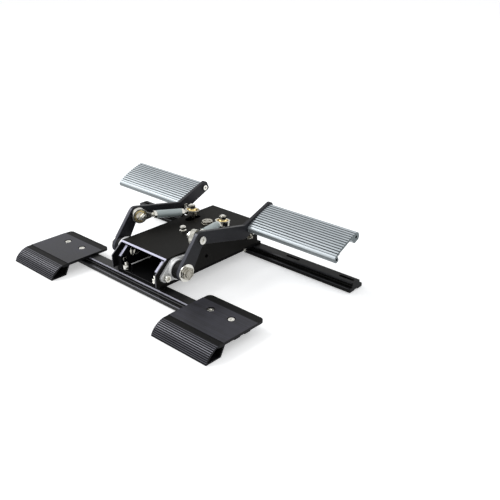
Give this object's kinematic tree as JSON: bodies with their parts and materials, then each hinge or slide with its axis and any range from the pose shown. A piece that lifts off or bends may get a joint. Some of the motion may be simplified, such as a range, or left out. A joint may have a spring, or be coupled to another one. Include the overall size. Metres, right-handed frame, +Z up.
{
  "type": "flight simulator rudder pedals",
  "caption": "Low metal rudder pedal unit: ribbed pads on bent arms, tie rods to a central rocker, cross bars on the floor and ribbed heel plates.",
  "frame": {"origin": "on the floor, at the middle of the whole unit's footprint", "axes": "+X to the user's right, along both cross bars; +Y away from the user; +Z up"},
  "size_m": [0.47, 0.291, 0.0927],
  "materials": {
    "bar_grey": "satin black-grey anodised",
    "heel_black": "satin black anodised",
    "sheet_black": "matt black coated",
    "arm_black": "satin blue-black anodised",
    "pad_silver": "satin clear anodised",
    "cast_silver": "fine cast, bright",
    "bright_steel": "zinc plated",
    "dark_steel": "blackened",
    "bronze": "satin",
    "sleeve_grey": "satin grey-green anodised",
    "black_plastic": "matt",
    "rubber": "matt",
    "board_green": "solder mask",
    "magnet_grey": "plated"
  },
  "bodies": {
    "chassis": {"front_bar": "bar_grey", "rear_bar": "bar_grey", "bar_end_caps": "black_plastic", "foot_strips": "rubber", "heel_plate_left": "heel_black", "heel_plate_right": "heel_black", "heel_plate_screws": "bright_steel", "chassis_channel": "sheet_black", "top_cover": "sheet_black", "rear_panel": "sheet_black", "usb_socket": "bright_steel", "circuit_board": "board_green", "board_spacers": "bright_steel", "bar_bolts": "bright_steel", "chassis_nuts": "bright_steel", "cheek_plates": "cast_silver", "cover_screws": "bright_steel", "flange_bearing_left": "cast_silver", "flange_bearing_right": "cast_silver", "bearing_inserts": "dark_steel", "flange_bolts": "bright_steel", "rocker_post": "bright_steel", "rocker_post_nut": "bright_steel", "spring_anchors": "bright_steel", "centring_springs": "bright_steel", "guide_wire": "bright_steel", "side_adjuster": "dark_steel", "top_cap_bolt": "bright_steel", "sensor_housing": "black_plastic", "stop_bumpers": "rubber"},
    "right_pedal": {"pedal_arm_right": "arm_black", "arm_hub_right": "dark_steel", "pivot_axle_right": "bright_steel", "pivot_nuts_right": "bright_steel", "foot_pad_right": "pad_silver", "pad_screws_right": "bright_steel", "knee_bolt_right": "bright_steel", "knee_ball_right": "bright_steel"},
    "left_pedal": {"pedal_arm_left": "arm_black", "arm_hub_left": "dark_steel", "pivot_axle_left": "bright_steel", "pivot_nuts_left": "bright_steel", "foot_pad_left": "pad_silver", "pad_screws_left": "bright_steel", "knee_bolt_left": "bright_steel", "knee_ball_left": "bright_steel"},
    "right_rod": {"rod_ends_right": "bright_steel", "rod_liners_right": "bronze", "tie_sleeve_right": "sleeve_grey", "jam_nuts_right": "bright_steel"},
    "left_rod": {"rod_ends_left": "bright_steel", "rod_liners_left": "bronze", "tie_sleeve_left": "sleeve_grey", "jam_nuts_left": "bright_steel"},
    "rocker": {"rocker_arm": "arm_black", "rocker_bearings": "bronze", "rocker_bolts": "bright_steel", "rocker_nuts": "bright_steel", "rocker_balls": "bronze", "sensor_magnet": "magnet_grey"}
  },
  "joints": [
    {"name": "right_pedal_swing", "type": "hinge", "parent": "chassis", "child": "right_pedal", "pos_m": [0, -0.047, 0.0393], "axis": [1, 0, 0], "range_deg": [-10, 10], "stiffness_Nm_per_rad": 12},
    {"name": "left_pedal_swing", "type": "hinge", "parent": "chassis", "child": "left_pedal", "pos_m": [0, -0.047, 0.0393], "axis": [1, 0, 0], "range_deg": [-10, 10]},
    {"name": "rocker_turn", "type": "hinge", "parent": "chassis", "child": "rocker", "pos_m": [0, 0.0665, 0.044], "axis": [0, 0, 1], "range_deg": [-12.9, 12.9], "deforming": ["centring_springs"]},
    {"name": "right_rod_pitch", "type": "hinge", "parent": "right_pedal", "child": "right_rod", "pos_m": [0.06, -0.016, 0.0786], "axis": [1, 0, 0], "range_deg": [-13.7, 13.7]},
    {"name": "left_rod_pitch", "type": "hinge", "parent": "left_pedal", "child": "left_rod", "pos_m": [-0.06, -0.016, 0.0786], "axis": [1, 0, 0], "range_deg": [-13.7, 13.7]}
  ],
  "couplings": [
    {"joint": "left_pedal_swing", "follows": "right_pedal_swing", "ratio": -1},
    {"joint": "rocker_turn", "follows": "right_pedal_swing", "ratio": -1.288},
    {"joint": "right_rod_pitch", "follows": "right_pedal_swing", "ratio": -1.366},
    {"joint": "left_rod_pitch", "follows": "right_pedal_swing", "ratio": 1.366}
  ]
}
